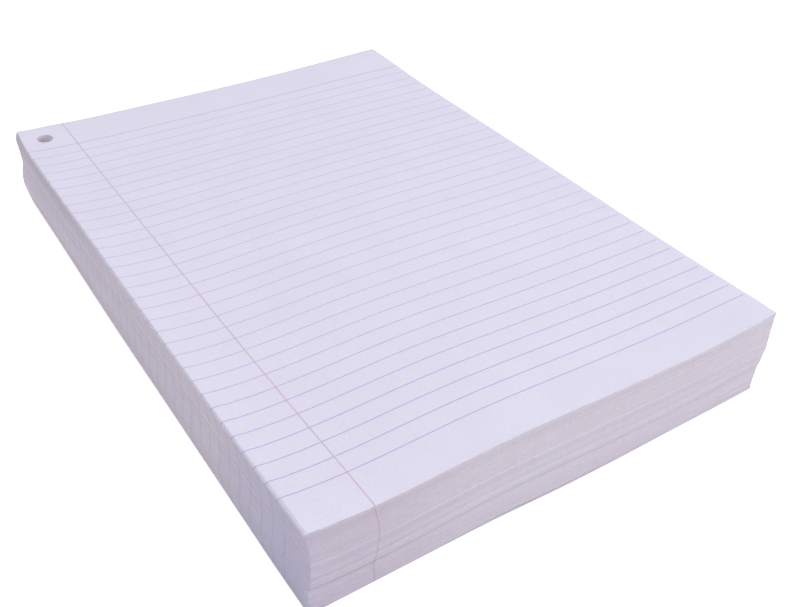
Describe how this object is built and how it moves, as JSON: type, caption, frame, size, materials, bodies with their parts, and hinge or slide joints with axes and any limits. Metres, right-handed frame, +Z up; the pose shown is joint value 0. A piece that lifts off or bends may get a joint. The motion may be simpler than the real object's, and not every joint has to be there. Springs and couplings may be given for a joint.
{
  "type": "ream of ruled paper",
  "caption": "Pile of loose A4 ruled sheets with a red margin, blue feint lines and a filing hole in one corner; sheets slid a little out of line, edges gently waved.",
  "frame": {"origin": "middle of the bottom sheet, on the surface that the ream lies on", "axes": "+Z up, +Y towards the head of the page, +X to the page's right"},
  "size_m": [0.2128, 0.3004, 0.0445],
  "materials": {
    "paper": "cut edges of stacked writing paper",
    "page": "smooth uncoated writing paper",
    "blue_ink": "thin pale ruling ink",
    "red_ink": "thin pale ruling ink"
  },
  "bodies": {
    "root": {"bottom_sheets": "paper", "lower_sheets": "paper", "middle_sheets": "paper", "upper_sheets": "paper", "top_sheets": "page", "feint_lines": "blue_ink", "margin_lines": "red_ink"}
  },
  "joints": []
}
